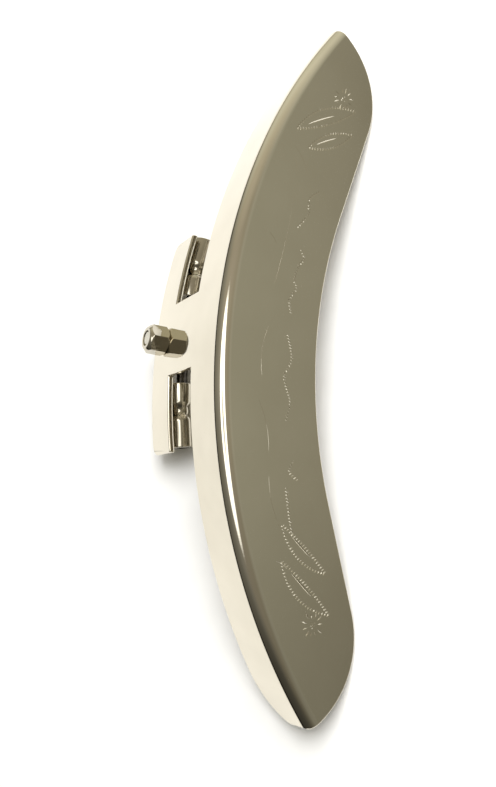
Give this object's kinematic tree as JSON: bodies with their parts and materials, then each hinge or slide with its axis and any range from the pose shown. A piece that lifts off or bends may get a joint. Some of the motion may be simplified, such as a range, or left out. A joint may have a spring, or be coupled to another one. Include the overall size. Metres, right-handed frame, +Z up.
{
  "type": "banjo armrest",
  "caption": "Crescent armrest plate with a rolled edge and a T-shaped tab, whose hexagon nut draws a sleeved clamp bar outward to grip the bracket hooks of a banjo rim.",
  "frame": {"origin": "on the ground, under the middle of the whole part as it lies on its two lobes and the outer end of one sleeve", "axes": "+X along the crescent from tip to tip, towards the tip that the tab is nearer to; +Y from the concave edge towards the tab and the nut; +Z up"},
  "size_m": [0.1794, 0.0596, 0.0323],
  "materials": {
    "plated_sheet": "polished nickel plate with fine engraving",
    "plated_nut": "polished nickel plate",
    "stud_metal": "cut thread, dull",
    "plated_rod": "drawn rod, nickel plate",
    "plated_sleeves": "turned and polished nickel plate"
  },
  "bodies": {
    "shell": {"armrest_shell": "plated_sheet"},
    "nut": {"nut": "plated_nut"},
    "clamp": {"stud": "stud_metal", "clamp_bar": "plated_rod", "sleeve_low": "plated_sleeves", "sleeve_high": "plated_sleeves"}
  },
  "joints": [
    {"name": "nut_turn", "type": "hinge", "parent": "shell", "child": "nut", "pos_m": [0.0061, 0.02365, 0.01185], "axis": [0.0394, 0.5933, 0.804], "range_deg": [0, 1800]},
    {"name": "clamp_slide", "type": "slide", "parent": "shell", "child": "clamp", "axis": [-0.0394, -0.5933, -0.804], "range_m": [0, 0.00397]}
  ],
  "couplings": [
    {"joint": "nut_turn", "follows": "clamp_slide", "rad_per_m": 7915.8}
  ]
}
